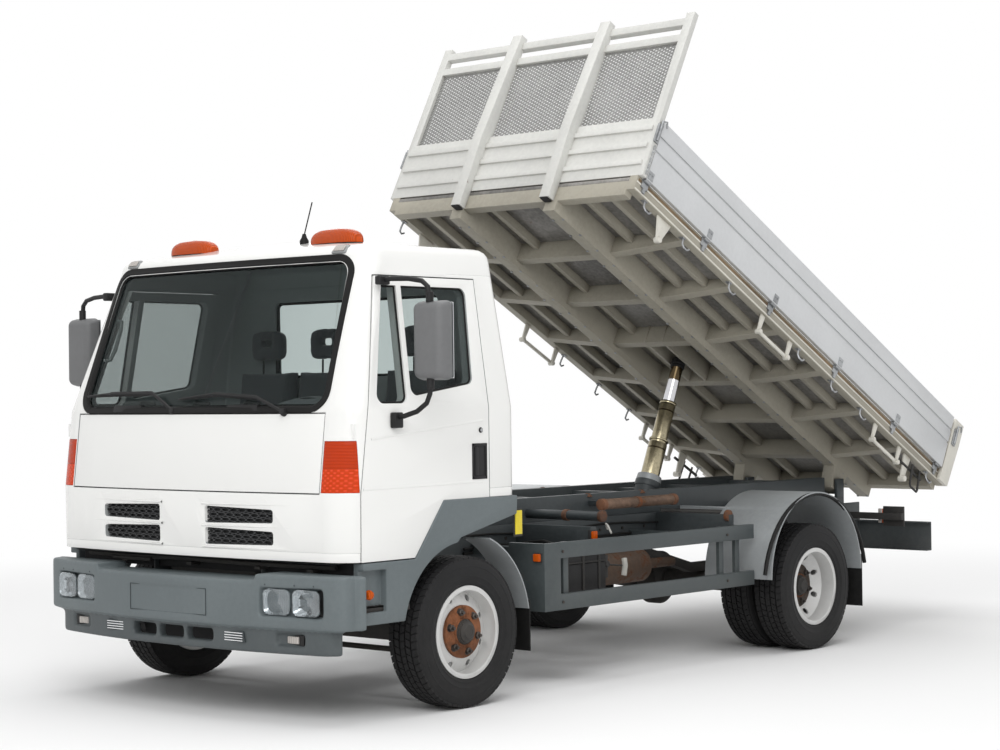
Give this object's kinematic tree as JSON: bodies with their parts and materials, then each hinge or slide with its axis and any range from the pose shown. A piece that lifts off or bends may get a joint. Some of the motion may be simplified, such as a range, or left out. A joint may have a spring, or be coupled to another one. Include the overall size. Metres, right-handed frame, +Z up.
{
  "type": "tipping truck",
  "caption": "Light cab-over truck with its load bed tipped back on a telescopic ram, dropsides, mesh headboard, twin rear wheels.",
  "frame": {"origin": "on the ground below the middle of the truck, bed raised", "axes": "+X forwards, +Y to the vehicle's left, +Z up"},
  "size_m": [6.3567, 2.938, 3.8412],
  "materials": {
    "tyre": "worn road rubber",
    "wheel_steel": "silver paint, dusty",
    "guard_paint": "silver grey paint",
    "axle_steel": "dirty black",
    "frame_paint": "slate grey chassis paint, dusty",
    "engine_metal": "oily cast metal",
    "cab_paint": "gloss white paint",
    "grille_mesh": "black mesh",
    "lamp_glass": "clear lamp lens",
    "orange_lens": "orange lens",
    "red_lens": "red lens",
    "window_glass": "tinted glass",
    "grey_plastic": "dark grey textured plastic",
    "black_plastic": "black plastic",
    "black_rubber": "black rubber",
    "seat_cloth": "dark woven cloth",
    "bed_cream": "cream white paint, weathered",
    "bed_under": "beige grey paint, stained",
    "bed_aluminium": "ribbed aluminium profile",
    "deck_steel": "worn steel sheet",
    "ram_steel": "oily steel",
    "ram_chrome": "chromed rod",
    "ram_paint": "grey paint, oily",
    "galvanised": "dull galvanised steel"
  },
  "bodies": {
    "chassis": {"frame_rails": "frame_paint", "subframe": "frame_paint", "engine_block": "engine_metal", "drive_line": "engine_metal", "front_axle": "axle_steel", "rear_axle": "axle_steel", "leaf_springs": "axle_steel", "bumper": "grey_plastic", "headlamps": "lamp_glass", "mudguards": "guard_paint", "mud_flaps": "black_rubber", "side_guards": "frame_paint", "underrun_bar": "frame_paint", "outriggers": "frame_paint", "battery_box": "black_plastic", "fuel_tank": "black_plastic", "tail_lamps": "red_lens", "exhaust": "engine_metal"},
    "cab": {"cab_floor": "cab_paint", "cab_roof": "cab_paint", "cab_rear": "cab_paint", "cab_front": "cab_paint", "grille": "grille_mesh", "corner_lamps": "orange_lens", "cab_glass": "window_glass", "arch_panels": "grey_plastic", "seats": "seat_cloth", "dashboard": "grey_plastic", "beacons": "orange_lens"},
    "front_lid": {"front_lid": "cab_paint"},
    "door_left": {"door_left": "cab_paint", "door_glass_left": "window_glass", "mirror_left": "grey_plastic"},
    "door_right": {"door_right": "cab_paint", "door_glass_right": "window_glass", "mirror_right": "grey_plastic"},
    "steering_wheel": {"steering_wheel": "black_plastic"},
    "knuckle_left": {"knuckle_left": "axle_steel"},
    "knuckle_right": {"knuckle_right": "axle_steel"},
    "tie_rod": {"tie_rod": "axle_steel"},
    "wheel_front_left": {"tyre_front_left": "tyre", "rim_front_left": "wheel_steel"},
    "wheel_front_right": {"tyre_front_right": "tyre", "rim_front_right": "wheel_steel"},
    "wheels_rear_left": {"tyres_rear_left": "tyre", "rims_rear_left": "wheel_steel"},
    "wheels_rear_right": {"tyres_rear_right": "tyre", "rims_rear_right": "wheel_steel"},
    "bed": {"bed_frame": "bed_under", "bed_floor": "deck_steel", "headboard": "bed_cream", "headboard_mesh": "galvanised", "rear_posts": "bed_cream"},
    "side_board_left": {"side_board_left": "bed_aluminium"},
    "side_board_right": {"side_board_right": "bed_aluminium"},
    "tailgate": {"tailgate": "bed_aluminium"},
    "ram_barrel": {"ram_barrel": "ram_paint"},
    "ram_stage_one": {"ram_stage_one": "ram_steel"},
    "ram_stage_two": {"ram_stage_two": "ram_steel"},
    "ram_rod": {"ram_rod": "ram_chrome"}
  },
  "joints": [
    {"name": "bed_tip", "type": "hinge", "parent": "chassis", "child": "bed", "pos_m": [-2.47273, 0, 0.93], "axis": [0, -1, 0], "range_deg": [-28, 20]},
    {"name": "ram_swing", "type": "hinge", "parent": "chassis", "child": "ram_barrel", "pos_m": [-0.73273, 0, 0.7], "axis": [0, -1, 0], "range_deg": [-3.86, 2.9]},
    {"name": "ram_slide_one", "type": "slide", "parent": "ram_barrel", "child": "ram_stage_one", "axis": [-0.4078, 0, 0.9131], "range_m": [-0.243, 0.174]},
    {"name": "ram_slide_two", "type": "slide", "parent": "ram_stage_one", "child": "ram_stage_two", "axis": [-0.4078, 0, 0.9131], "range_m": [-0.243, 0.174]},
    {"name": "ram_slide_three", "type": "slide", "parent": "ram_stage_two", "child": "ram_rod", "axis": [-0.4078, 0, 0.9131], "range_m": [-0.243, 0.174]},
    {"name": "side_board_left_hinge", "type": "hinge", "parent": "bed", "child": "side_board_left", "pos_m": [-2.97759, 1.004, 0.9934], "axis": [-0.8829, 0, -0.4695], "range_deg": [0, 170]},
    {"name": "side_board_right_hinge", "type": "hinge", "parent": "bed", "child": "side_board_right", "pos_m": [-2.97759, -1.004, 0.9934], "axis": [0.8829, 0, 0.4695], "range_deg": [0, 170]},
    {"name": "tailgate_hinge", "type": "hinge", "parent": "bed", "child": "tailgate", "pos_m": [-3.14965, 0, 1.27227], "axis": [0, 1, 0], "range_deg": [0, 80]},
    {"name": "cab_tilt", "type": "hinge", "parent": "chassis", "child": "cab", "pos_m": [2.99227, 0, 0.752], "axis": [0, 1, 0], "range_deg": [0, 45]},
    {"name": "front_lid_hinge", "type": "hinge", "parent": "cab", "child": "front_lid", "pos_m": [3.00827, 0, 1.503], "axis": [0, -1, 0], "range_deg": [0, 80]},
    {"name": "door_left_hinge", "type": "hinge", "parent": "cab", "child": "door_left", "pos_m": [2.88927, 1.127, 1.2], "axis": [0, 0, -1], "range_deg": [0, 70]},
    {"name": "door_right_hinge", "type": "hinge", "parent": "cab", "child": "door_right", "pos_m": [2.88927, -1.127, 1.2], "axis": [0, 0, 1], "range_deg": [0, 70]},
    {"name": "steering_wheel_turn", "type": "hinge", "parent": "cab", "child": "steering_wheel", "pos_m": [2.50647, 0.565, 1.4618], "axis": [-0.4695, 0, 0.8829], "range_deg": [-640, 640]},
    {"name": "steer_left", "type": "hinge", "parent": "chassis", "child": "knuckle_left", "pos_m": [2.14727, 0.85, 0.3835], "axis": [0, 0, 1], "range_deg": [-32, 32]},
    {"name": "steer_right", "type": "hinge", "parent": "chassis", "child": "knuckle_right", "pos_m": [2.14727, -0.85, 0.3835], "axis": [0, 0, 1], "range_deg": [-32, 32]},
    {"name": "tie_rod_pivot", "type": "hinge", "parent": "knuckle_left", "child": "tie_rod", "pos_m": [1.99727, 0.85, 0.3835], "axis": [0, 0, 1], "range_deg": [-32, 32]},
    {"name": "wheel_front_left_spin", "type": "hinge", "parent": "knuckle_left", "child": "wheel_front_left", "pos_m": [2.14727, 1.0425, 0.3835], "axis": [0, 1, 0], "continuous": true},
    {"name": "wheel_front_right_spin", "type": "hinge", "parent": "knuckle_right", "child": "wheel_front_right", "pos_m": [2.14727, -1.0425, 0.3835], "axis": [0, 1, 0], "continuous": true},
    {"name": "wheels_rear_left_spin", "type": "hinge", "parent": "chassis", "child": "wheels_rear_left", "pos_m": [-0.93873, 1.015, 0.3835], "axis": [0, 1, 0], "continuous": true},
    {"name": "wheels_rear_right_spin", "type": "hinge", "parent": "chassis", "child": "wheels_rear_right", "pos_m": [-0.93873, -1.015, 0.3835], "axis": [0, 1, 0], "continuous": true}
  ],
  "couplings": [
    {"joint": "ram_swing", "follows": "bed_tip", "ratio": 0.12},
    {"joint": "ram_slide_one", "follows": "bed_tip", "m_per_rad": 0.49333},
    {"joint": "ram_slide_two", "follows": "bed_tip", "m_per_rad": 0.49333},
    {"joint": "ram_slide_three", "follows": "bed_tip", "m_per_rad": 0.49333},
    {"joint": "steer_right", "follows": "steer_left", "ratio": 1},
    {"joint": "tie_rod_pivot", "follows": "steer_left", "ratio": -1},
    {"joint": "steering_wheel_turn", "follows": "steer_left", "ratio": 20}
  ]
}
